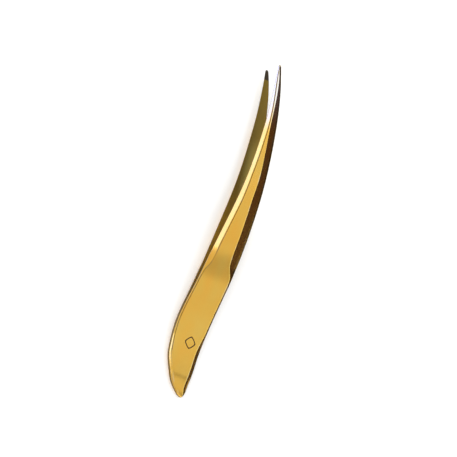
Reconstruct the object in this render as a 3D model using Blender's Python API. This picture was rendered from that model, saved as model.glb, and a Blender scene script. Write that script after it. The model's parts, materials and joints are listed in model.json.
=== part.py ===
"""Curved, fine-pointed stamp tongs: two ground spring arms, welded together at the butt.

Each arm is one strip of spring steel. It is flat where the two are welded, then bows away from the other
arm, and its outer face is ground to two unequal bevels that run out to a needle tip. The arms sweep
sideways as they run forward, first to the left and then to the right.

The tongs are drawn in their own frame, in metres: +X from the butt to the tips, +Z along the opening,
+Y to the left, and the plane between the arms at Z = 0. The empty "tongs" then lays them down as they
lie on a table: the butt and the lower arm touch Z = 0.
"""

import math

import bmesh
import bpy
import numpy as np
from mathutils import Matrix, Vector

# Overall sizes.
LENGTH = 0.120
HEEL_LENGTH = 0.0362  # butt to the line where each arm bends
HANDLE_WIDTH = 0.0117
TIP_WIDTH = 0.00105
TIP_OPENING = 0.010  # between the tips, at rest
CLOSED_CLEARANCE = 0.0001  # between the mid-plane and each tip when closed

# Gaps between pieces.
PIECE_GAP = 0.0003  # between pieces that touch on the real tongs
FLEX_GAP = 0.0003  # between a heel and its blade

# Strip thickness, and the square edge that is left under the bevels.
NOSE_THICKNESS = 0.0007  # at the very butt, where the outer face is rounded off
HEEL_THICKNESS = 0.00105
SHOULDER_THICKNESS = 0.00142
NECK_THICKNESS = 0.0012
TIP_THICKNESS = 0.0005
NOSE_EDGE = 0.0003
BUTT_EDGE = 0.0006
HEEL_EDGE = 0.00084
GRIND_START_EDGE = 0.0008  # the grind leaves the heel here
GRIND_END_EDGE = 0.00031
BLADE_EDGE = 0.0003
TIP_EDGE = 0.00025

# The two bevels of the outer face.
LEFT_BEVEL_ANGLE = math.radians(39)
RIGHT_BEVEL_ANGLE = math.radians(18)
RIDGE_LAND = 0.00015  # flat left between the bevels where they meet

# The butt's rounded end.
BUTT_ROUND = 0.014
BUTT_BELLY_POWER = 1.6
BUTT_NOSE_POWER = 0.58

# The tips.
TIP_ROUND = 0.0005
GRIP_FLAT = 0.0035  # length of the ground gripping face

# Where the arms part.
OPENS_AT = 0.020

# Spot welds between the heels.
WELD_STATIONS = (0.0085, 0.0165)
WELD_RADIUS = 0.0016
WELD_DEPTH = 0.00035  # how far the weld's pocket goes into each heel
WELD_CLEARANCE = 0.0003
WELD_SHOULDER = (0.7, 0.8)  # where the nugget's lens turns, as shares of its radius and half thickness

HEEL_STEPS = 9
BUTT_STEPS = 10
BLADE_STEPS = 26
GRIP_STEPS = 3
TIP_STEPS = 3
WELD_SEGMENTS = 24
LEAST = 1e-5  # nearest that a ring comes to the very end of an arm
MERGE = 1e-6


def heel_at(share):
    return HEEL_LENGTH * share


def blade_at(share):
    return HEEL_LENGTH + (LENGTH - HEEL_LENGTH) * share


# Right-hand edge of the plan: place along the tongs, and sideways.
RIGHT_EDGE = (
    (heel_at(0.0), -0.0002),
    (heel_at(0.035), -0.0008),
    (heel_at(0.1), -0.0011),
    (heel_at(0.2), -0.0015),
    (heel_at(0.4), -0.0019),
    (heel_at(0.67), -0.0029),
    (heel_at(1.0), -0.0047),
    (blade_at(0.17), -0.0066),
    (blade_at(0.33), -0.0073),
    (blade_at(0.5), -0.0073),
    (blade_at(0.67), -0.0063),
    (blade_at(0.83), -0.00455),
    (blade_at(0.95), -0.0023),
    (blade_at(1.0), -0.0010),
)

# Width of the plan: how far it is from the tip's width to the handle's.
WIDTH_SHARE = (
    (heel_at(0.2), 0.815),
    (heel_at(0.4), 0.895),
    (heel_at(0.67), 1.0),
    (heel_at(1.0), 0.98),
    (blade_at(0.17), 0.92),
    (blade_at(0.33), 0.775),
    (blade_at(0.5), 0.58),
    (blade_at(0.67), 0.40),
    (blade_at(0.83), 0.23),
    (blade_at(0.95), 0.085),
    (blade_at(1.0), 0.0),
)

# How much of the tip's opening each place has, from where the arms part to the gripping face.
BOW = (
    (0.0, 0.0),
    (0.09, 0.03),
    (0.17, 0.105),
    (0.33, 0.34),
    (0.5, 0.66),
    (0.65, 0.84),
    (0.82, 0.96),
    (1.0, 1.0),
)

THICKNESS = (
    (heel_at(0.0), NOSE_THICKNESS),
    (heel_at(0.14), HEEL_THICKNESS),
    (blade_at(0.05), HEEL_THICKNESS),
    (blade_at(0.2), SHOULDER_THICKNESS),
    (blade_at(0.4), SHOULDER_THICKNESS),
    (blade_at(0.55), NECK_THICKNESS),
    (blade_at(0.7), NECK_THICKNESS),
    (blade_at(1.0), TIP_THICKNESS),
)

SQUARE_EDGE = (
    (heel_at(0.0), NOSE_EDGE),
    (heel_at(0.14), BUTT_EDGE),
    (heel_at(0.4), BUTT_EDGE),
    (heel_at(0.67), HEEL_EDGE),
    (blade_at(0.05), HEEL_EDGE),
    (blade_at(0.085), GRIND_START_EDGE),
    (blade_at(0.14), GRIND_END_EDGE),
    (blade_at(0.2), BLADE_EDGE),
    (blade_at(1.0), TIP_EDGE),
)


def natural_spline(points):
    """The smooth curve with continuous curvature through (x, value) points."""
    x, value = (np.array(column, float) for column in zip(*points))
    step = np.diff(x)
    slope = np.diff(value) / step
    system = np.eye(len(x))
    right_side = np.zeros(len(x))
    for i in range(1, len(x) - 1):
        system[i, i - 1 : i + 2] = step[i - 1], 2 * (step[i - 1] + step[i]), step[i]
        right_side[i] = 6 * (slope[i] - slope[i - 1])
    bend = np.linalg.solve(system, right_side)

    def at(place):
        i = int(np.clip(np.searchsorted(x, place) - 1, 0, len(step) - 1))
        after, before, h = place - x[i], x[i + 1] - place, step[i]
        ends = (value[i] / h - bend[i] * h / 6) * before + (value[i + 1] / h - bend[i + 1] * h / 6) * after
        return ends + (bend[i] * before**3 + bend[i + 1] * after**3) / (6 * h)

    return at


def level_curve(points):
    """The curve through (x, value) points that never runs past the values it joins."""
    x, value = (np.array(column, float) for column in zip(*points))
    step = np.diff(x)
    slope = np.diff(value) / step
    tangent = np.zeros(len(x))
    for i in range(1, len(x) - 1):
        if slope[i - 1] * slope[i] > 0:
            near, far = 2 * step[i] + step[i - 1], step[i] + 2 * step[i - 1]
            tangent[i] = (near + far) / (near / slope[i - 1] + far / slope[i])

    def at(place):
        i = int(np.clip(np.searchsorted(x, place) - 1, 0, len(step) - 1))
        h = step[i]
        t = min(max((place - x[i]) / h, 0.0), 1.0)
        start = (1 + 2 * t) * (1 - t) ** 2 * value[i] + t * (1 - t) ** 2 * h * tangent[i]
        return start + t * t * (3 - 2 * t) * value[i + 1] + t * t * (t - 1) * h * tangent[i + 1]

    return at


right_edge = natural_spline(RIGHT_EDGE)
width_share = natural_spline(WIDTH_SHARE)
bow = natural_spline(BOW)
strip_thickness = level_curve(THICKNESS)
square_edge = level_curve(SQUARE_EDGE)


def closing_slope():
    """How far each arm turns to close, as a slope."""
    return (TIP_OPENING / 2 - CLOSED_CLEARANCE) / (LENGTH - HEEL_LENGTH)


def grip_start():
    return LENGTH - GRIP_FLAT


def half_gap(x):
    """Height of an arm's inner face above the mid-plane."""
    heel = PIECE_GAP / 2
    at_grip = TIP_OPENING / 2 - GRIP_FLAT * closing_slope()
    if x <= OPENS_AT:
        return heel
    if x >= grip_start():
        return at_grip + (x - grip_start()) * closing_slope()
    return heel + (at_grip - heel) * bow((x - OPENS_AT) / (grip_start() - OPENS_AT))


def edges(x):
    """Left and right edge of the plan."""
    right = right_edge(x)
    width = TIP_WIDTH + (HANDLE_WIDTH - TIP_WIDTH) * width_share(max(x, WIDTH_SHARE[0][0]))
    if x < BUTT_ROUND:
        share = x / BUTT_ROUND
        width *= (1 - (1 - share) ** BUTT_BELLY_POWER) ** BUTT_NOSE_POWER
    left = right + width
    from_end = LENGTH - x
    if from_end < TIP_ROUND:
        middle = (left + right) / 2
        shrink = math.sqrt(max(1 - (1 - from_end / TIP_ROUND) ** 2, 0.0))
        left = middle + (left - middle) * shrink
        right = middle + (right - middle) * shrink
    return left, right


def section(x):
    """The arm's six-sided section at x, as (y, z) points from the inner left corner round."""
    left, right = edges(x)
    inner = half_gap(x)
    edge = square_edge(x)
    run_left = 1 / math.tan(LEFT_BEVEL_ANGLE)
    run_right = 1 / math.tan(RIGHT_BEVEL_ANGLE)
    land = min(RIDGE_LAND, (left - right) / 3)
    depth = min(strip_thickness(x) - edge, (left - right - land) / (run_left + run_right))
    return (
        (left, inner),
        (left, inner + edge),
        (left - depth * run_left, inner + edge + depth),
        (right + depth * run_right, inner + edge + depth),
        (right, inner + edge),
        (right, inner),
    )


def flex_point():
    """The middle of the upper arm's strip on the line where it bends."""
    return Vector((HEEL_LENGTH, 0.0, half_gap(HEEL_LENGTH) + strip_thickness(HEEL_LENGTH) / 2))


def heel_rings():
    end = HEEL_LENGTH - FLEX_GAP / 2
    rounded = [BUTT_ROUND * (1 - math.cos(math.pi / 2 * i / BUTT_STEPS)) for i in range(BUTT_STEPS)]
    rounded[0] = LEAST
    return rounded + list(np.linspace(BUTT_ROUND, end, HEEL_STEPS))


def blade_rings():
    start = HEEL_LENGTH + FLEX_GAP / 2
    blade = list(np.linspace(start, grip_start(), BLADE_STEPS))
    grip = list(np.linspace(grip_start(), LENGTH - TIP_ROUND, GRIP_STEPS))[1:]
    tip = [LENGTH - TIP_ROUND * (1 - math.sin(math.pi / 2 * i / TIP_STEPS)) for i in range(1, TIP_STEPS)]
    return blade + grip + tip + [LENGTH - LEAST]


def loft(name, stations, origin, side):
    """A closed solid through the sections at these stations; side is 1 for the upper arm and -1 for the lower."""
    bm = bmesh.new()
    rings = []
    for x in stations:
        points = [Vector((x, y, z * side)) - origin for y, z in section(x)]
        rings.append([bm.verts.new(p) for p in points])
    for a, b in zip(rings, rings[1:]):
        for i in range(len(a)):
            j = (i + 1) % len(a)
            bm.faces.new((a[i], a[j], b[j], b[i]))
    bm.faces.new(rings[0])
    bm.faces.new(rings[-1])
    bmesh.ops.recalc_face_normals(bm, faces=bm.faces)
    mesh = bpy.data.meshes.new(name)
    bm.to_mesh(mesh)
    bm.free()
    return add_object(name, mesh)


def add_object(name, mesh):
    piece = bpy.data.objects.new(name, mesh)
    bpy.context.collection.objects.link(piece)
    return piece


def add_empty(name, location, parent=None):
    empty = bpy.data.objects.new(name, None)
    empty.location = location
    empty.parent = parent
    bpy.context.collection.objects.link(empty)
    return empty


def material(name, colour, roughness):
    made = bpy.data.materials.new(name)
    made.use_nodes = True
    shader = made.node_tree.nodes["Principled BSDF"]
    shader.inputs["Base Color"].default_value = (*colour, 1.0)
    shader.inputs["Metallic"].default_value = 1.0
    shader.inputs["Roughness"].default_value = roughness
    return made


def weld_place(station):
    left, right = edges(station)
    return Vector((station, (left + right) / 2, 0.0))


def turned(name, profile):
    """A solid turned about Z from (radius, z) points that start and end on the axis."""
    bm = bmesh.new()
    path = [bm.verts.new((r, 0.0, z)) for r, z in profile]
    line = [bm.edges.new(pair) for pair in zip(path, path[1:])]
    bmesh.ops.spin(
        bm,
        geom=path + line,
        cent=(0, 0, 0),
        axis=(0, 0, 1),
        angle=2 * math.pi,
        steps=WELD_SEGMENTS,
        use_merge=True,
    )
    bmesh.ops.remove_doubles(bm, verts=bm.verts, dist=MERGE)
    bmesh.ops.recalc_face_normals(bm, faces=bm.faces)
    mesh = bpy.data.meshes.new(name)
    bm.to_mesh(mesh)
    bm.free()
    return add_object(name, mesh)


def weld_nugget(name, station):
    """A spot weld's fused core: a flat lens between the two heels."""
    half = PIECE_GAP / 2 + WELD_DEPTH - WELD_CLEARANCE
    radius = WELD_RADIUS
    rim = (radius * WELD_SHOULDER[0], half * WELD_SHOULDER[1])
    profile = ((0.0, half), rim, (radius, 0.0), (rim[0], -rim[1]), (0.0, -half))
    nugget = turned(name, profile)
    nugget.location = weld_place(station)
    return nugget


def weld_cutter(station):
    """What a spot weld takes out of both heels."""
    reach = PIECE_GAP / 2 + WELD_DEPTH
    radius = WELD_RADIUS + WELD_CLEARANCE
    cutter = turned("weld_cutter", ((0.0, reach), (radius, reach), (radius, -reach), (0.0, -reach)))
    cutter.location = weld_place(station)
    cutter.hide_render = True
    cutter.display_type = "WIRE"
    return cutter


def cut(piece, cutter):
    boolean = piece.modifiers.new("weld_pocket", "BOOLEAN")
    boolean.operation = "DIFFERENCE"
    boolean.solver = "EXACT"
    boolean.object = cutter


def heel(name, side, cutters, finish, parent):
    piece = loft(name, heel_rings(), Vector((0, 0, 0)), side)
    piece.data.materials.append(finish)
    piece.parent = parent
    for cutter in cutters:
        cut(piece, cutter)


def blade(name, side, finish, parent):
    """A blade hangs from an empty on its bending line, so that turning the empty flexes it."""
    pivot = flex_point()
    pivot.z *= side
    hinge = add_empty(name + "_flexure", pivot, parent)
    piece = loft(name, blade_rings(), pivot, side)
    piece.data.materials.append(finish)
    piece.parent = hinge


def rest_on_table(tongs):
    """Tips the tongs until the butt and the lower arm both touch Z = 0, with the origin under their middle."""
    outline = [(x, section(x)[2][1]) for x in heel_rings() + blade_rings()]
    pairs = [(a, b) for a in outline for b in outline if a[0] < OPENS_AT < b[0]]

    def height_where_the_arms_part(pair):
        (x0, z0), (x1, z1) = pair
        return z0 + (z1 - z0) * (OPENS_AT - x0) / (x1 - x0)

    (x0, z0), (x1, z1) = max(pairs, key=height_where_the_arms_part)
    tilt = math.atan2(z1 - z0, x1 - x0)
    tongs.matrix_world = Matrix.Rotation(-tilt, 4, "Y")
    bpy.context.view_layer.update()
    corners = [o.matrix_world @ v.co for o in bpy.data.objects if o.type == "MESH" for v in o.data.vertices]
    lowest = [min(c[k] for c in corners) for k in range(3)]
    highest = [max(c[k] for c in corners) for k in range(3)]
    middle = Vector(((lowest[0] + highest[0]) / 2, (lowest[1] + highest[1]) / 2, lowest[2]))
    tongs.matrix_world = Matrix.Translation(-middle) @ Matrix.Rotation(-tilt, 4, "Y")


def main():
    for leftover in list(bpy.data.objects):
        bpy.data.objects.remove(leftover, do_unlink=True)
    gold = material("polished_gold_plate", (0.70, 0.42, 0.065), 0.2)
    weld_metal = material("fused_steel", (0.32, 0.31, 0.30), 0.5)
    tongs = add_empty("tongs", (0, 0, 0))
    cutters = [weld_cutter(station) for station in WELD_STATIONS]
    for cutter in cutters:
        cutter.parent = tongs
    for name, side in (("near", 1), ("far", -1)):
        heel(name + "_heel", side, cutters, gold, tongs)
        blade(name + "_blade", side, gold, tongs)
    for name, station in zip(("weld_nugget_rear", "weld_nugget_front"), WELD_STATIONS):
        nugget = weld_nugget(name, station)
        nugget.data.materials.append(weld_metal)
        nugget.parent = tongs
    rest_on_table(tongs)


main()
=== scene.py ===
import json
import math

import bmesh
import bpy
import numpy as np
from mathutils import Matrix, Vector

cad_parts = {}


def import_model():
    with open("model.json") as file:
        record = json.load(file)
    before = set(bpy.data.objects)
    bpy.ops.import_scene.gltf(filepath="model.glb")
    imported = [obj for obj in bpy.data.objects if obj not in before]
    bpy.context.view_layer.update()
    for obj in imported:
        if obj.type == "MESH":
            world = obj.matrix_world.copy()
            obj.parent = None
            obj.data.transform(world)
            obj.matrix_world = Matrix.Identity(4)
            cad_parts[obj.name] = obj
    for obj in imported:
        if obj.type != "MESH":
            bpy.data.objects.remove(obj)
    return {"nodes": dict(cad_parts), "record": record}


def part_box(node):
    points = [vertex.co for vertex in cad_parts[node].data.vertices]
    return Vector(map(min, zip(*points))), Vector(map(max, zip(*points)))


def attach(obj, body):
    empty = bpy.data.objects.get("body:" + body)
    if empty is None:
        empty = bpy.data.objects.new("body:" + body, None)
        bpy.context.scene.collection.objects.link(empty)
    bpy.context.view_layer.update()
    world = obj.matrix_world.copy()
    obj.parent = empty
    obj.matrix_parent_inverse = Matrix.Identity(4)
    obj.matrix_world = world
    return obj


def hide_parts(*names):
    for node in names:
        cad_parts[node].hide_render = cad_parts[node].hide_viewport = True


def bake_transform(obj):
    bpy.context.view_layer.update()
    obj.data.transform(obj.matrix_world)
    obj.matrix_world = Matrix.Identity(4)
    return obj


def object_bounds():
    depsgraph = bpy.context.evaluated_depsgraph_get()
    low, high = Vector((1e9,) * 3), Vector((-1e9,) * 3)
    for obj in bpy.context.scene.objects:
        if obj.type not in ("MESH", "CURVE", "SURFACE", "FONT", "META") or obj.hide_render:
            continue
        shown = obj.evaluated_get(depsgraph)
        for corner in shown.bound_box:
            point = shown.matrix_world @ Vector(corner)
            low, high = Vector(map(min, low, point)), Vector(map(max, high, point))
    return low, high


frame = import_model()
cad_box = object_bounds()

# Curved, fine-pointed stamp tongs, gold plated: the fine surface of the two spring arms, on the imported frame.
#
# Each arm is one continuous strip from the butt to the tip, drawn in the tongs' own frame: +X from the butt
# to the tips, +Z along the opening, +Y to the left, and the plane between the arms at Z = 0. The strip runs
# across its flexure in its rest shape, so it stands for the heel and the blade of its arm. The two weld nuggets
# stay CAD nodes.
# Everything is in metres.

# Driving sizes, as in the CAD model unless a comment says otherwise.
LENGTH = 0.120
HEEL_LENGTH = 0.0362
HANDLE_WIDTH = 0.0117
TIP_WIDTH = 0.00105
TIP_OPENING = 0.010  # between the tips, at rest
CLOSED_CLEARANCE = 0.0001  # between the mid-plane and each tip when closed
PIECE_GAP = 0.0003  # between the two heels
NOSE_THICKNESS = 0.0007
HEEL_THICKNESS = 0.00105
SHOULDER_THICKNESS = 0.00142
NECK_THICKNESS = 0.0012
TIP_THICKNESS = 0.0005
NOSE_EDGE = 0.0003  # the square edge under the bevels, here and in the next six
BUTT_EDGE = 0.0006
HEEL_EDGE = 0.00084
GRIND_START_EDGE = 0.0008
GRIND_END_EDGE = 0.00031
BLADE_EDGE = 0.0003
TIP_EDGE = 0.00025
LEFT_BEVEL_ANGLE = math.radians(39)
LEFT_RIM_ANGLE = math.radians(26)  # not in the CAD: the narrow bevel along the heel's straight left edge
LEFT_GRIND_ANGLE = math.radians(32)  # not in the CAD: the left bevel where it starts on the blade
RIGHT_BEVEL_ANGLE = math.radians(18)
RIDGE_LAND = 0.00015  # flat left between the bevels where they meet
BUTT_ROUND = 0.014
BUTT_BELLY_POWER = 1.6
BUTT_NOSE_POWER = 0.58
TIP_ROUND = 0.0005
GRIP_FLAT = 0.0035  # length of the ground gripping face
OPENS_AT = 0.020  # where the arms part

# What the fine surface adds.
SEAM = 0.00004  # between the two heels, which are pressed together
SEAM_FADES_BY = 0.032  # from here on the inner face is the CAD model's
NOSE_CORNER = 0.00035  # rounding of the butt's right-hand corner
NOSE_BEVEL_RUN = 0.0002  # the bevels narrow to this round the nose
NOSE_BEVEL_REACH = 0.003
INNER_ROUND = 0.00006  # rounding radii of the section's corners, here and in the next four
LEFT_EDGE_ROUND = 0.00010
RIGHT_EDGE_ROUND = 0.0016
LEFT_RIDGE_ROUND = 0.0008
RIGHT_RIDGE_ROUND = 0.0010
MOST_CUT = 0.4  # the most of a flat that the rounding at one of its edges takes
SUPPORT = 0.00004  # between a rounding and the loop that holds the flat beside it flat
MOST_SUPPORT = 0.4  # the most that this may be, as a share of the rounding's cut
PAST_RIDGE = 1.05  # the flat beside a bevel reaches at least this many bevel runs in from the edge
POCKET_RADIUS = 0.0021  # hollow in the inner faces round each weld nugget
POCKET_DEPTH = 0.0003

# The mark on the upper heel.
MARK_PLACE = (0.0185, 0.0024)
MARK_SIZE = (0.0044, 0.0040)
MARK_LINE = 0.00042
MARK_PROUD = 0.00001
MARK_SINK = 0.00002
MARK_POWER = 1.25  # 1 makes a sharp lozenge and 2 an ellipse
MARK_POINTS = 64

# The strips' finishes, in the order of their material slots.
GOLD_FINISH, WALL_FINISH, INNER_FINISH, GRIP_FINISH = range(4)

# How finely the strips are drawn.
NOSE_STATIONS = 56
NOSE_CROWDING = 1.7  # 1 spaces them evenly, and more draws them together at the nose
HALVINGS = 40
STATION_STEP = 0.0004
TIP_STATIONS = 8
ARC_POINTS = 6
WALL_END = ARC_POINTS + 3  # the inner edge's points and the wall's, which come first in a side's profile
OUTER_POINTS = 6
INNER_POINTS = 26
LEAST = 1e-5
MERGE = 2e-7

# The camera. Azimuth 0 looks along +Y and 90 along -X.
VIEW_AZIMUTH = -139.09
VIEW_ELEVATION = 61.72
VIEW_ROLL = 66.95
VIEW_DISTANCE = 1.2
VIEW_AIM = (0.060, 0.0, 0.0)  # the tongs' middle, in their own frame
VIEW_SHIFT_RIGHT = 0.000514
VIEW_SHIFT_UP = 0.000557
LENS = 279.8
SENSOR = 36
NEAREST_SEEN = 0.01
FARTHEST_SEEN = 20.0


def heel_at(share):
    return HEEL_LENGTH * share


def blade_at(share):
    return HEEL_LENGTH + (LENGTH - HEEL_LENGTH) * share


# Right-hand edge of the plan: place along the tongs, and sideways.
RIGHT_EDGE = (
    (heel_at(0.0), -0.0002),
    (heel_at(0.035), -0.0008),
    (heel_at(0.1), -0.0011),
    (heel_at(0.2), -0.0015),
    (heel_at(0.4), -0.0019),
    (heel_at(0.67), -0.0029),
    (heel_at(1.0), -0.0047),
    (blade_at(0.17), -0.0066),
    (blade_at(0.33), -0.0073),
    (blade_at(0.5), -0.0073),
    (blade_at(0.67), -0.0063),
    (blade_at(0.83), -0.00455),
    (blade_at(0.95), -0.0023),
    (blade_at(1.0), -0.0010),
)

# Width of the plan: how far it is from the tip's width to the handle's.
WIDTH_SHARE = (
    (heel_at(0.2), 0.815),
    (heel_at(0.4), 0.895),
    (heel_at(0.67), 1.0),
    (heel_at(1.0), 0.98),
    (blade_at(0.17), 0.92),
    (blade_at(0.33), 0.775),
    (blade_at(0.5), 0.58),
    (blade_at(0.67), 0.40),
    (blade_at(0.83), 0.23),
    (blade_at(0.95), 0.085),
    (blade_at(1.0), 0.0),
)

# How much of the tip's opening each place has, from where the arms part to the gripping face.
BOW = (
    (0.0, 0.0),
    (0.09, 0.03),
    (0.17, 0.105),
    (0.33, 0.34),
    (0.5, 0.66),
    (0.65, 0.84),
    (0.82, 0.96),
    (1.0, 1.0),
)

# Full thickness of a strip. The butt's slope ends at 0.2 of the heel here, and at 0.14 in the CAD.
THICKNESS = (
    (heel_at(0.0), NOSE_THICKNESS),
    (heel_at(0.2), HEEL_THICKNESS),
    (blade_at(0.05), HEEL_THICKNESS),
    (blade_at(0.2), SHOULDER_THICKNESS),
    (blade_at(0.4), SHOULDER_THICKNESS),
    (blade_at(0.55), NECK_THICKNESS),
    (blade_at(0.7), NECK_THICKNESS),
    (blade_at(1.0), TIP_THICKNESS),
)

# Height of the square edge left under the bevels.
SQUARE_EDGE = (
    (heel_at(0.0), NOSE_EDGE),
    (heel_at(0.2), BUTT_EDGE),
    (heel_at(0.4), BUTT_EDGE),
    (heel_at(0.67), HEEL_EDGE),
    (blade_at(0.05), HEEL_EDGE),
    (blade_at(0.085), GRIND_START_EDGE),
    (blade_at(0.14), GRIND_END_EDGE),
    (blade_at(0.2), BLADE_EDGE),
    (blade_at(1.0), TIP_EDGE),
)

# Slope of the left bevel, which is one angle all along in the CAD.
LEFT_TILT = (
    (heel_at(0.0), LEFT_BEVEL_ANGLE),
    (heel_at(0.5), LEFT_BEVEL_ANGLE),
    (heel_at(0.65), LEFT_RIM_ANGLE),
    (heel_at(1.0), LEFT_RIM_ANGLE),
    (blade_at(0.14), LEFT_GRIND_ANGLE),
    (blade_at(0.22), LEFT_BEVEL_ANGLE),
    (blade_at(1.0), LEFT_BEVEL_ANGLE),
)


def natural_spline(points):
    """The smooth curve with continuous curvature through (x, value) points."""
    x, value = np.array(points, float).T
    step = np.diff(x)
    slope = np.diff(value) / step
    system = np.eye(len(x))
    right_side = np.zeros(len(x))
    for i in range(1, len(x) - 1):
        system[i, i - 1 : i + 2] = step[i - 1], 2 * (step[i - 1] + step[i]), step[i]
        right_side[i] = 6 * (slope[i] - slope[i - 1])
    bend = np.linalg.solve(system, right_side)

    def at(place):
        i = np.clip(np.searchsorted(x, place) - 1, 0, len(step) - 1)
        after, before, h = place - x[i], x[i + 1] - place, step[i]
        ends = (value[i] / h - bend[i] * h / 6) * before + (value[i + 1] / h - bend[i + 1] * h / 6) * after
        return ends + (bend[i] * before**3 + bend[i + 1] * after**3) / (6 * h)

    return at


def level_curve(points):
    """The curve through (x, value) points that never runs past the values it joins."""
    x, value = np.array(points, float).T
    step = np.diff(x)
    slope = np.diff(value) / step
    tangent = np.zeros(len(x))
    for i in range(1, len(x) - 1):
        if slope[i - 1] * slope[i] > 0:
            near, far = 2 * step[i] + step[i - 1], step[i] + 2 * step[i - 1]
            tangent[i] = (near + far) / (near / slope[i - 1] + far / slope[i])

    def at(place):
        i = np.clip(np.searchsorted(x, place) - 1, 0, len(step) - 1)
        h = step[i]
        t = np.clip((place - x[i]) / h, 0.0, 1.0)
        start = (1 + 2 * t) * (1 - t) ** 2 * value[i] + t * (1 - t) ** 2 * h * tangent[i]
        return start + t * t * (3 - 2 * t) * value[i + 1] + t * t * (t - 1) * h * tangent[i + 1]

    return at


def smooth_step(t):
    t = np.clip(t, 0.0, 1.0)
    return t * t * (3 - 2 * t)


right_edge = natural_spline(RIGHT_EDGE)
width_share = natural_spline(WIDTH_SHARE)
bow = natural_spline(BOW)
strip_thickness = level_curve(THICKNESS)
square_edge = level_curve(SQUARE_EDGE)
left_tilt = level_curve(LEFT_TILT)


def closing_slope():
    return (TIP_OPENING / 2 - CLOSED_CLEARANCE) / (LENGTH - HEEL_LENGTH)


def grip_start():
    return LENGTH - GRIP_FLAT


def half_gap(x):
    """Height of the CAD model's inner faces above the mid-plane."""
    heel = PIECE_GAP / 2
    at_grip = TIP_OPENING / 2 - GRIP_FLAT * closing_slope()
    along = (x - OPENS_AT) / (grip_start() - OPENS_AT)
    bowed = heel + (at_grip - heel) * bow(np.clip(along, 0.0, 1.0))
    return bowed + np.maximum(x - grip_start(), 0.0) * closing_slope()


def inner_relief(x, y):
    """How far the fine inner face stands off the CAD one: the heels meet, but for a hollow at each weld."""
    pressed = 1 - smooth_step((x - OPENS_AT) / (SEAM_FADES_BY - OPENS_AT))
    relief = (SEAM - PIECE_GAP) / 2 * pressed
    for centre in weld_centres:
        reach = ((x - centre.x) ** 2 + (y - centre.y) ** 2) / POCKET_RADIUS**2
        relief = relief + POCKET_DEPTH * np.maximum(1 - reach, 0.0)
    return relief


def edges(x):
    """Left and right edge of the plan."""
    right = right_edge(x)
    width = TIP_WIDTH + (HANDLE_WIDTH - TIP_WIDTH) * width_share(np.maximum(x, WIDTH_SHARE[0][0]))
    share = np.clip(x / BUTT_ROUND, 0.0, 1.0)
    width = width * (1 - (1 - share) ** BUTT_BELLY_POWER) ** BUTT_NOSE_POWER
    left = right + width
    corner = np.clip(1 - x / NOSE_CORNER, 0.0, 1.0)
    right = right + NOSE_CORNER * (1 - np.sqrt(1 - corner**2))
    from_end = np.clip(1 - (LENGTH - x) / TIP_ROUND, 0.0, 1.0)
    middle = (left + right) / 2
    shrink = np.sqrt(1 - from_end**2)
    return middle + (left - middle) * shrink, middle + (right - middle) * shrink


def nose():
    """Where the left and right edges meet at the butt."""
    low, high = LEAST, NOSE_CORNER
    for _ in range(HALVINGS):
        middle = (low + high) / 2
        left, right = edges(np.array(middle))
        low, high = (low, middle) if left > right else (middle, high)
    return high


def stations():
    """Places along the strip: close together round the nose, at the grip's edge and at the tip."""
    start = nose()
    butt = start + (BUTT_ROUND - start) * (np.arange(NOSE_STATIONS) / NOSE_STATIONS) ** NOSE_CROWDING
    count = round((grip_start() - BUTT_ROUND) / STATION_STEP)
    blade = np.linspace(BUTT_ROUND, grip_start() - SUPPORT, count)
    grip = np.linspace(grip_start() + SUPPORT, LENGTH - TIP_ROUND, round(GRIP_FLAT / STATION_STEP) + 1)
    tip = LENGTH - TIP_ROUND * (1 - np.sin(np.pi / 2 * np.arange(1, TIP_STATIONS + 1) / TIP_STATIONS))
    tip[-1] = LENGTH - LEAST
    return np.concatenate((butt, blade, (grip_start(),), grip, tip))


def inward_normals(left, right):
    """Directions square to the plan's outline, pointing into it, at the left and right edge points."""
    outline = np.concatenate((left[::-1], right[1:]))
    ahead = np.roll(outline, -1, axis=0) - outline
    ahead[-1] = ahead[-2]
    size = np.linalg.norm(ahead, axis=1, keepdims=True)
    ahead = ahead / size
    tangent = ahead + np.vstack((ahead[:1], ahead[:-1]))
    tangent /= np.linalg.norm(tangent, axis=1, keepdims=True)
    normal = np.stack((-tangent[:, 1], tangent[:, 0]), axis=1)
    count = len(left)
    return normal[:count][::-1], normal[count - 1 :]


def rounded(corners, radii):
    """A polyline's inner corners rounded, as (across, up, on_edge) points; the two ends are left out."""
    points = []
    for i in range(1, len(corners) - 1):
        here = corners[i]
        back, ahead = corners[i - 1] - here, corners[i + 1] - here
        reach_back, reach_ahead = np.linalg.norm(back), np.linalg.norm(ahead)
        back, ahead = back / reach_back, ahead / reach_ahead
        turn = math.pi - math.acos(float(np.clip(back @ ahead, -1.0, 1.0)))
        cut = radii[i - 1] * math.tan(turn / 2)
        cut_back, cut_ahead = min(cut, MOST_CUT * reach_back), min(cut, MOST_CUT * reach_ahead)
        points.append((*(here + back * (cut_back + min(SUPPORT, cut_back * MOST_SUPPORT))), 0.0))
        for k in range(ARC_POINTS):
            t = k / (ARC_POINTS - 1)
            p = here + back * cut_back * (1 - t) ** 2 + ahead * cut_ahead * t**2
            points.append((*p, 1.0))
        points.append((*(here + ahead * (cut_ahead + min(SUPPORT, cut_ahead * MOST_SUPPORT))), 0.0))
    return np.array(points)


def side_profile(width, edge, depth, run, inner_round, edge_round, ridge_round):
    """One side of the section, from the inner face to the outer one, as (across, up, on_edge) points."""
    half, top = width / 2, edge + depth
    corners = ((half, 0.0), (0.0, 0.0), (0.0, edge), (run, top), (max(half, run * PAST_RIDGE), top))
    return rounded([np.array(c) for c in corners], (inner_round, edge_round, ridge_round))


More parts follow.
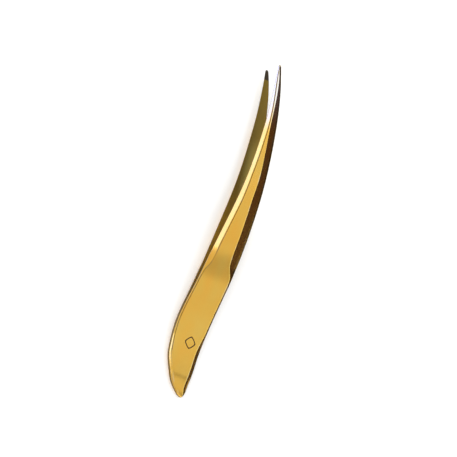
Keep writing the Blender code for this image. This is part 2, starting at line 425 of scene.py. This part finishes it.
def strip_rings():
    """Every ring of the strip as (x, y, z, on_edge, finish) points, all with as many points."""
    x = stations()
    left, right = (np.stack((x, edge), axis=1) for edge in edges(x))
    left_normal, right_normal = inward_normals(left, right)
    rings = []
    for i, place in enumerate(x):
        width = max(left[i, 1] - right[i, 1], 2 * LEAST)
        edge = square_edge(place)
        land = min(RIDGE_LAND, width / 3)
        tilts = left_tilt(place), RIGHT_BEVEL_ANGLE
        slopes = sum(1 / math.tan(tilt) for tilt in tilts)
        full = smooth_step(place / NOSE_BEVEL_REACH)
        depth = strip_thickness(place) - edge
        if place > BUTT_ROUND:
            depth = max(min(depth, (width - land) / slopes), LEAST)
        runs = [NOSE_BEVEL_RUN * (1 - full) + depth / math.tan(tilt) * full for tilt in tilts]
        on_left = side_profile(width, edge, depth, runs[0], INNER_ROUND, LEFT_EDGE_ROUND, LEFT_RIDGE_ROUND)
        on_right = side_profile(width, edge, depth, runs[1], INNER_ROUND, RIGHT_EDGE_ROUND, RIGHT_RIDGE_ROUND)
        left_points = place_points(left[i], left_normal[i], on_left)
        right_points = place_points(right[i], right_normal[i], on_right)[::-1]
        outer = between(left_points[-1], right_points[0], OUTER_POINTS)
        inner = between(right_points[-1], left_points[0], INNER_POINTS)
        inner[:, 4] = INNER_FINISH
        rings.append(np.concatenate((left_points, outer, right_points, inner)))
    rings = np.array(rings)
    x, y, up = rings[:, :, 0], rings[:, :, 1], rings[:, :, 2]
    on_inner_face = 1 - smooth_step(up / NOSE_EDGE)
    rings[:, :, 2] = half_gap(x) + up + inner_relief(x, y) * on_inner_face
    return rings


def place_points(base, normal, profile):
    """A side's profile set up at a point of the plan's outline, as (x, y, up, on_edge, finish) points."""
    points = np.zeros((len(profile), 5))
    points[:, :2] = base + normal * profile[:, :1]
    points[:, 2:4] = profile[:, 1:]
    points[0, 4] = INNER_FINISH
    points[1:WALL_END, 4] = WALL_FINISH
    return points


def between(a, b, count):
    """Points evenly spaced between two others, none of them on an edge."""
    share = (np.arange(1, count + 1) / (count + 1))[:, None]
    points = a + (b - a) * share
    points[:, 3] = 0.0
    return points


def lay_down(name, bm):
    """A finished mesh, drawn in the tongs' frame, as an object where the tongs lie."""
    bmesh.ops.recalc_face_normals(bm, faces=bm.faces)
    mesh = bpy.data.meshes.new(name)
    bm.to_mesh(mesh)
    bm.free()
    item = bpy.data.objects.new(name, mesh)
    bpy.context.collection.objects.link(item)
    item.matrix_world = tongs_to_world
    return item


def build_strip(name, side):
    """One arm's strip; side is 1 for the upper arm and -1 for the lower."""
    rings = strip_rings()
    count = rings.shape[1]
    bm = bmesh.new()
    edge_wear = bm.verts.layers.float.new("edge_wear")
    columns = []
    for ring in rings:
        column = []
        for x, y, z, on_edge, _ in ring:
            vert = bm.verts.new((x, y, z * side))
            vert[edge_wear] = on_edge
            column.append(vert)
        columns.append(column)
    for i, (a, b) in enumerate(zip(columns, columns[1:])):
        gripping = rings[i, 0, 0] > grip_start() - SUPPORT / 2
        for k in range(count):
            j = (k + 1) % count
            face = bm.faces.new((a[k], a[j], b[j], b[k]))
            face.smooth = True
            finish = int(min(rings[i, k, 4], rings[i, j, 4]))
            face.material_index = GRIP_FINISH if gripping and finish != GOLD_FINISH else finish
    bm.faces.new(columns[-1])
    bmesh.ops.remove_doubles(bm, verts=bm.verts, dist=MERGE)
    bmesh.ops.dissolve_degenerate(bm, dist=MERGE, edges=bm.edges)
    return lay_down(name, bm)


def build_mark():
    """A plain lozenge outline etched on the upper heel, standing just proud of the face."""
    surface = half_gap(MARK_PLACE[0]) + strip_thickness(MARK_PLACE[0])
    bm = bmesh.new()
    loops = []
    for inset, level in ((0, -MARK_SINK), (0, MARK_PROUD), (MARK_LINE, MARK_PROUD), (MARK_LINE, -MARK_SINK)):
        loop = []
        for k in range(MARK_POINTS):
            angle = 2 * math.pi * k / MARK_POINTS
            along, across = math.cos(angle), math.sin(angle)
            reach = (abs(along) ** MARK_POWER + abs(across) ** MARK_POWER) ** (-1 / MARK_POWER)
            x = MARK_PLACE[0] + (MARK_SIZE[0] / 2 - inset) * reach * along
            y = MARK_PLACE[1] + (MARK_SIZE[1] / 2 - inset) * reach * across
            loop.append(bm.verts.new((x, y, surface + level)))
        loops.append(loop)
    for a, b in zip(loops, loops[1:] + loops[:1]):
        for k in range(MARK_POINTS):
            j = (k + 1) % MARK_POINTS
            bm.faces.new((a[k], a[j], b[j], b[k]))
    return lay_down("etched_mark", bm)


def find_tongs_frame():
    """The tongs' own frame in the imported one: up from a heel mount, origin from the two flexures."""
    mounts = {mount["name"]: mount for mount in frame["record"]["mounts"]}
    up = Vector(mounts["upper_heel_face"]["axis"]).normalized()
    joints = [Vector(j["pos_m"]) for j in frame["record"]["behaviour"]["joints"]]
    across = Vector((0, 1, 0))
    along = across.cross(up).normalized()
    origin = (joints[0] + joints[1]) / 2 - along * HEEL_LENGTH
    rows = Matrix((along, across, up)).transposed().to_4x4()
    return Matrix.Translation(origin) @ rows


tongs_to_world = find_tongs_frame()


def weld_centre(node):
    """A weld nugget's middle in the tongs' frame."""
    low, high = (Vector(corner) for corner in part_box(node))
    return tongs_to_world.inverted() @ ((low + high) / 2)


WELD_NODES = ("weld_nugget_rear", "weld_nugget_front")
weld_centres = [weld_centre(node) for node in WELD_NODES]


# Materials.


def new_material(name):
    made = bpy.data.materials.new(name)
    made.use_nodes = True
    nodes = made.node_tree.nodes
    return made, nodes, made.node_tree.links, nodes["Principled BSDF"]


def new_metal(name):
    made, nodes, links, shader = new_material(name)
    shader.inputs["Metallic"].default_value = 1.0
    return made, nodes, links, shader


def streaks(nodes, links, scale, stretch, detail=3.0):
    """Noise with so many waves to the metre, drawn out along the tongs by the stretch."""
    place = nodes.new("ShaderNodeTexCoord")
    mapping = nodes.new("ShaderNodeMapping")
    mapping.inputs["Scale"].default_value = (scale / stretch, scale, scale)
    noise = nodes.new("ShaderNodeTexNoise")
    noise.inputs["Scale"].default_value = 1.0
    noise.inputs["Detail"].default_value = detail
    links.new(place.outputs["Object"], mapping.inputs["Vector"])
    links.new(mapping.outputs["Vector"], noise.inputs["Vector"])
    return noise.outputs["Fac"]


def along_tongs(nodes, links, start, end):
    """From 0 at one place along the tongs to 1 at another, measured from the table's origin."""
    place = nodes.new("ShaderNodeTexCoord")
    parts = nodes.new("ShaderNodeSeparateXYZ")
    links.new(place.outputs["Object"], parts.inputs["Vector"])
    share = nodes.new("ShaderNodeMapRange")
    share.inputs["From Min"].default_value = start
    share.inputs["From Max"].default_value = end
    links.new(parts.outputs["X"], share.inputs["Value"])
    return share.outputs["Result"]


def ramp(nodes, links, source, stops):
    """A colour ramp of (position, colour) stops on a value."""
    made = nodes.new("ShaderNodeValToRGB")
    elements = made.color_ramp.elements
    while len(elements) < len(stops):
        elements.new(0.5)
    for element, (position, colour) in zip(elements, stops):
        element.position = position
        element.color = (*colour, 1.0)
    links.new(source, made.inputs["Fac"])
    return made.outputs["Color"]


def grey(value):
    return (value, value, value)


def add_bump(nodes, links, shader, height, strength, distance):
    bump = nodes.new("ShaderNodeBump")
    bump.inputs["Strength"].default_value = strength
    bump.inputs["Distance"].default_value = distance
    links.new(height, bump.inputs["Height"])
    links.new(bump.outputs["Normal"], shader.inputs["Normal"])


def math_node(nodes, links, operation, a, b):
    made = nodes.new("ShaderNodeMath")
    made.operation = operation
    made.use_clamp = True
    for slot, value in zip(made.inputs, (a, b)):
        if isinstance(value, (int, float)):
            slot.default_value = value
        else:
            links.new(value, slot)
    return made.outputs["Value"]


def mix_colour(nodes, links, factor, a, b):
    made = nodes.new("ShaderNodeMix")
    made.data_type = "RGBA"
    links.new(factor, made.inputs["Factor"])
    for slot, value in ((made.inputs[6], a), (made.inputs[7], b)):
        if isinstance(value, tuple):
            slot.default_value = (*value, 1.0)
        else:
            links.new(value, slot)
    return made.outputs[2]


GOLD = (0.80, 0.475, 0.082)
GOLD_WARM = (0.83, 0.45, 0.070)
GOLD_PALE = (0.78, 0.50, 0.100)
BARE_STEEL = (0.68, 0.57, 0.38)  # still with a trace of the plating
MOST_EDGE_WEAR = 0.35
TIP_WEAR_FROM = 0.036  # the plating wears off the tips between these places
TIP_WEAR_TO = 0.048
# Painted shade: the satin faces' colour is a darker copy of the gold, standing in for the shade and dark
# reflections on the inner faces and walls.
SATIN_PAINTED_SHADE = ((0.175, 0.105, 0.016), (0.210, 0.128, 0.022))
# Painted light: the inner faces are painted lighter towards the heels, to offset the shade that falls between
# the arms there.
SATIN_HEEL_PAINTED_LIGHT = ((0.62, 0.44, 0.09), (0.70, 0.49, 0.11))
SATIN_HEEL_PAINTED_LIGHT_TO = 0.004  # the inner faces go from the heels' painted lighter tone to the tips' painted shade between these places
SATIN_PAINTED_SHADE_FROM = 0.036


def gold_plate():
    """Polished gold-coloured plating with fine lengthwise finishing lines, worn at the edges and the tips."""
    made, nodes, links, shader = new_metal("polished_gold_plate")
    clouds = streaks(nodes, links, 180.0, 2.5)
    tint = ramp(nodes, links, clouds, ((0.30, GOLD_WARM), (0.52, GOLD), (0.75, GOLD_PALE)))
    scuffs = streaks(nodes, links, 900.0, 4.0, 5.0)
    wear_spots = ramp(nodes, links, scuffs, ((0.48, grey(0)), (0.66, grey(1))))
    on_edge = nodes.new("ShaderNodeAttribute")
    on_edge.attribute_name = "edge_wear"
    wear = math_node(nodes, links, "MULTIPLY", on_edge.outputs["Fac"], wear_spots)
    wear = math_node(nodes, links, "MULTIPLY", wear, MOST_EDGE_WEAR)
    wear = math_node(nodes, links, "MAXIMUM", wear, along_tongs(nodes, links, TIP_WEAR_FROM, TIP_WEAR_TO))
    links.new(mix_colour(nodes, links, wear, tint, BARE_STEEL), shader.inputs["Base Color"])
    lines = streaks(nodes, links, 9000.0, 60.0, 2.0)
    roughness = ramp(nodes, links, lines, ((0.25, grey(0.12)), (0.75, grey(0.18))))
    links.new(roughness, shader.inputs["Roughness"])
    add_bump(nodes, links, shader, lines, 0.12, 0.00002)
    return made


def painted_shade_satin_plate(name, heel_painted_tone):
    """The same plating over an unpolished surface, its colour a darker copy of the gold as painted shade,
    painted lighter towards the heels than at the tips.
    """
    made, nodes, links, shader = new_metal(name)
    clouds = streaks(nodes, links, 250.0, 3.0)
    # Painted shade towards the tips, and painted lighter towards the heels.
    toward_tips = ramp(nodes, links, clouds, tuple(zip((0.30, 0.70), SATIN_PAINTED_SHADE)))
    toward_heels = ramp(nodes, links, clouds, tuple(zip((0.30, 0.70), heel_painted_tone)))
    along = along_tongs(nodes, links, SATIN_HEEL_PAINTED_LIGHT_TO, SATIN_PAINTED_SHADE_FROM)
    links.new(mix_colour(nodes, links, along, toward_heels, toward_tips), shader.inputs["Base Color"])
    grains = streaks(nodes, links, 16000.0, 1.5, 2.0)
    links.new(ramp(nodes, links, grains, ((0.3, grey(0.34)), (0.7, grey(0.44)))), shader.inputs["Roughness"])
    add_bump(nodes, links, shader, grains, 0.15, 0.00001)
    return made


def ground_grip_painted_shade():
    """The gripping flats: ground across and dull, their near-black colour a painted shade for the dark
    reflection they show.
    """
    made, nodes, links, shader = new_metal("ground_grip_painted_shade")
    lines = streaks(nodes, links, 3000.0, 0.05, 2.0)
    # Painted shade: near-black base colour standing in for the dark reflection on the gripping flats.
    tint = ramp(nodes, links, lines, ((0.3, (0.030, 0.020, 0.010)), (0.7, (0.085, 0.062, 0.036))))
    links.new(tint, shader.inputs["Base Color"])
    links.new(ramp(nodes, links, lines, ((0.3, grey(0.35)), (0.7, grey(0.5)))), shader.inputs["Roughness"])
    add_bump(nodes, links, shader, lines, 0.3, 0.00003)
    return made


def fused_steel():
    """The weld nuggets: dull, slightly pitted steel with straw and blue heat tints."""
    made, nodes, links, shader = new_metal("fused_steel")
    clouds = streaks(nodes, links, 1500.0, 1.0, 4.0)
    stops = ((0.3, (0.20, 0.20, 0.24)), (0.5, (0.34, 0.33, 0.31)), (0.7, (0.42, 0.34, 0.22)))
    links.new(ramp(nodes, links, clouds, stops), shader.inputs["Base Color"])
    links.new(ramp(nodes, links, clouds, ((0.3, grey(0.4)), (0.7, grey(0.65)))), shader.inputs["Roughness"])
    add_bump(nodes, links, shader, clouds, 0.4, 0.00005)
    return made


def etched_oxide():
    """The mark: dark brown oxide left by the etching, uneven and matt."""
    made, nodes, links, shader = new_material("etched_oxide")
    shader.inputs["Specular IOR Level"].default_value = 0.15
    clouds = streaks(nodes, links, 4000.0, 1.0, 4.0)
    tint = ramp(nodes, links, clouds, ((0.35, (0.012, 0.004, 0.001)), (0.7, (0.035, 0.012, 0.004))))
    links.new(tint, shader.inputs["Base Color"])
    links.new(ramp(nodes, links, clouds, ((0.3, grey(0.45)), (0.7, grey(0.7)))), shader.inputs["Roughness"])
    add_bump(nodes, links, shader, clouds, 0.3, 0.00001)
    return made


gold = gold_plate()
walls = painted_shade_satin_plate("satin_side_walls_painted_shade", SATIN_PAINTED_SHADE)
inner = painted_shade_satin_plate("satin_inner_faces_painted_shade", SATIN_HEEL_PAINTED_LIGHT)
grip = ground_grip_painted_shade()
weld_metal = fused_steel()
for node in WELD_NODES:
    frame["nodes"][node].data.materials.clear()
    frame["nodes"][node].data.materials.append(weld_metal)

for name, side, arm in (("near", 1, "near_arm"), ("far", -1, "far_arm")):
    strip = build_strip(name + "_arm_strip", side)
    for finish in (gold, walls, inner, grip):
        strip.data.materials.append(finish)
    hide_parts(name + "_heel", name + "_blade")
    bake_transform(strip)

mark = build_mark()
mark.data.materials.append(etched_oxide())
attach(mark, "heel")


# Floor, light and camera.

FLOOR_SIZE = 12.0
FLOOR_COLOUR = (0.96, 0.96, 0.955)
WORLD_LIGHT = 1.25
HORIZON_IN_METAL = 0.50  # what the polished metal reflects of the room, low down and overhead
OVERHEAD_IN_METAL = 0.89
OVERHEAD_FROM = 0.86  # height of the direction from which the room is as light as overhead
FLOOR_SHADE_GAP = 0.0010  # between the tongs and the dark strip on the floor at their right-hand side
FLOOR_SHADE_WIDTH = 0.09
FLOOR_SHADE_RISE = 0.0002  # above the floor
FLOOR_SHADE_GLOW = 0.02
FLOOR_SHADE_POINTS = 25

# The light at the left and the cards that the metal reflects: name, place off the tongs' middle in the
# tongs' own directions, length along the tongs and width, and radiance or colour.
LEFT_SOFT_BOX = ("left_soft_box", (0.10, 0.68, 0.385), (0.76, 0.21), 2.5)
CARDS = (
    ("left_strip", (0.10, 0.67, 0.372), (0.76, 0.19), (1.35, 1.9, 6.0)),
    ("ridge_shade", (0.25, 0.12, 0.75), (0.40, 0.42), grey(0.10)),
    ("shoulder_shade", (-0.009, -0.097, 0.25), (0.022, 0.066), grey(0.48)),
    ("tip_glow", (0.39, -0.29, 0.70), (0.30, 0.20), (1.5, 1.7, 2.4)),
    ("right_ridge_glow", (0.21, -0.44, 0.63), (0.50, 0.17), (1.6, 2.0, 3.0)),
    ("right_shade", (0.177, -0.564, 0.462), (0.55, 0.264), (0.075, 0.041, 0.055)),
    ("right_edge_shade", (0.22, -0.70, 0.180), (0.36, 0.382), grey(0.01)),
)


def tongs_direction(direction):
    """A direction of the tongs' frame, in the world."""
    return (tongs_to_world.to_3x3() @ Vector(direction)).normalized()


def floor():
    bpy.ops.mesh.primitive_plane_add(size=FLOOR_SIZE, location=(0, 0, cad_box[0][2]))
    plane = bpy.context.object
    plane.name = "floor"
    made, nodes, links, shader = new_material("pale_floor")
    shader.inputs["Base Color"].default_value = (*FLOOR_COLOUR, 1.0)
    shader.inputs["Roughness"].default_value = 0.9
    shader.inputs["Specular IOR Level"].default_value = 0.0
    plane.data.materials.append(made)


def face_the_tongs(item, direction, distance):
    """Place an item off the tongs' middle, facing it, with its X along the tongs."""
    along = tongs_direction((1, 0, 0))
    along = (along - direction * along.dot(direction)).normalized()
    turn = Matrix((along, direction.cross(along), direction)).transposed()
    item.matrix_world = Matrix.Translation(tongs_middle + direction * distance) @ turn.to_4x4()


def soft_box(name, place, size, radiance):
    """A soft studio light at a place off the tongs' middle, in the tongs' own directions."""
    light = bpy.data.lights.new(name, "AREA")
    light.shape = "RECTANGLE"
    light.size, light.size_y = size
    light.energy = radiance * math.pi * size[0] * size[1]
    item = bpy.data.objects.new(name, light)
    bpy.context.collection.objects.link(item)
    item.visible_camera = False
    face_the_tongs(item, tongs_direction(place), Vector(place).length)


def sheet(name, corners, colour):
    """A glowing sheet, darker or lighter than the room, that only the metal's reflections see."""
    mesh = bpy.data.meshes.new(name)
    mesh.from_pydata(corners, [], [tuple(range(len(corners)))])
    item = bpy.data.objects.new(name, mesh)
    bpy.context.collection.objects.link(item)
    made, nodes, links, shader = new_material(name)
    shader.inputs["Base Color"].default_value = (0, 0, 0, 1.0)
    shader.inputs["Specular IOR Level"].default_value = 0.0
    shader.inputs["Emission Color"].default_value = (*colour, 1.0)
    path = nodes.new("ShaderNodeLightPath")
    direct = math_node(nodes, links, "LESS_THAN", path.outputs["Diffuse Depth"], 0.5)
    links.new(direct, shader.inputs["Emission Strength"])
    mesh.materials.append(made)
    item.visible_camera = False
    item.visible_diffuse = False
    item.visible_shadow = False
    return item


def card(name, place, size, colour):
    """A rectangular sheet at a place off the tongs' middle, in the tongs' own directions."""
    x, y = size[0] / 2, size[1] / 2
    corners = ((-x, -y, 0), (x, -y, 0), (x, y, 0), (-x, y, 0))
    face_the_tongs(sheet(name, corners, colour), tongs_direction(place), Vector(place).length)


def floor_shade():
    """A dark strip on the floor that follows the tongs' right-hand edge."""
    level = cad_box[0][2] + FLOOR_SHADE_RISE
    near = []
    for x in np.linspace(nose(), LENGTH, FLOOR_SHADE_POINTS):
        point = tongs_to_world @ Vector((x, edges(x)[1] - FLOOR_SHADE_GAP, 0))
        near.append((point.x, point.y, level))
    far = [(x, y - FLOOR_SHADE_WIDTH, level) for x, y, _ in (near[-1], near[0])]
    sheet("floor_shade", near + far, grey(FLOOR_SHADE_GLOW))


def camera():
    """The photograph's long lens, looking down on the upper arm."""
    data = bpy.data.cameras.new("camera")
    data.lens = LENS
    data.sensor_width = SENSOR
    data.clip_start, data.clip_end = NEAREST_SEEN, FARTHEST_SEEN
    item = bpy.data.objects.new("camera", data)
    bpy.context.collection.objects.link(item)
    azimuth, elevation = math.radians(VIEW_AZIMUTH), math.radians(VIEW_ELEVATION)
    level = math.cos(elevation)
    back = Vector((math.sin(azimuth) * level, -math.cos(azimuth) * level, math.sin(elevation)))
    turn = (-back).to_track_quat("-Z", "Y").to_matrix() @ Matrix.Rotation(math.radians(VIEW_ROLL), 3, "Z")
    place = tongs_middle + turn @ Vector((VIEW_SHIFT_RIGHT, VIEW_SHIFT_UP, VIEW_DISTANCE))
    item.matrix_world = Matrix.Translation(place) @ turn.to_4x4()
    bpy.context.scene.camera = item


def world():
    """White all round, and for the metal's reflections darker low down than overhead."""
    made = bpy.data.worlds.new("studio")
    made.use_nodes = True
    nodes, links = made.node_tree.nodes, made.node_tree.links
    open_room = nodes["Background"]
    in_metal = nodes.new("ShaderNodeBackground")
    path = nodes.new("ShaderNodeLightPath")
    mix = nodes.new("ShaderNodeMixShader")
    open_room.inputs["Strength"].default_value = WORLD_LIGHT
    place = nodes.new("ShaderNodeTexCoord")
    parts = nodes.new("ShaderNodeSeparateXYZ")
    height = nodes.new("ShaderNodeMapRange")
    height.inputs["From Max"].default_value = OVERHEAD_FROM
    height.inputs["To Min"].default_value = HORIZON_IN_METAL
    height.inputs["To Max"].default_value = OVERHEAD_IN_METAL
    links.new(place.outputs["Generated"], parts.inputs["Vector"])
    links.new(parts.outputs["Z"], height.inputs["Value"])
    links.new(height.outputs["Result"], in_metal.inputs["Strength"])
    for background in (open_room, in_metal):
        background.inputs["Color"].default_value = (1, 1, 1, 1)
    links.new(path.outputs["Is Glossy Ray"], mix.inputs["Fac"])
    links.new(open_room.outputs["Background"], mix.inputs[1])
    links.new(in_metal.outputs["Background"], mix.inputs[2])
    links.new(mix.outputs["Shader"], nodes["World Output"].inputs["Surface"])
    bpy.context.scene.world = made
    bpy.context.scene.view_settings.view_transform = "Standard"


tongs_middle = tongs_to_world @ Vector(VIEW_AIM)
floor()
world()
camera()
soft_box(*LEFT_SOFT_BOX)
for name, place, size, colour in CARDS:
    card(name, place, size, colour)
floor_shade()
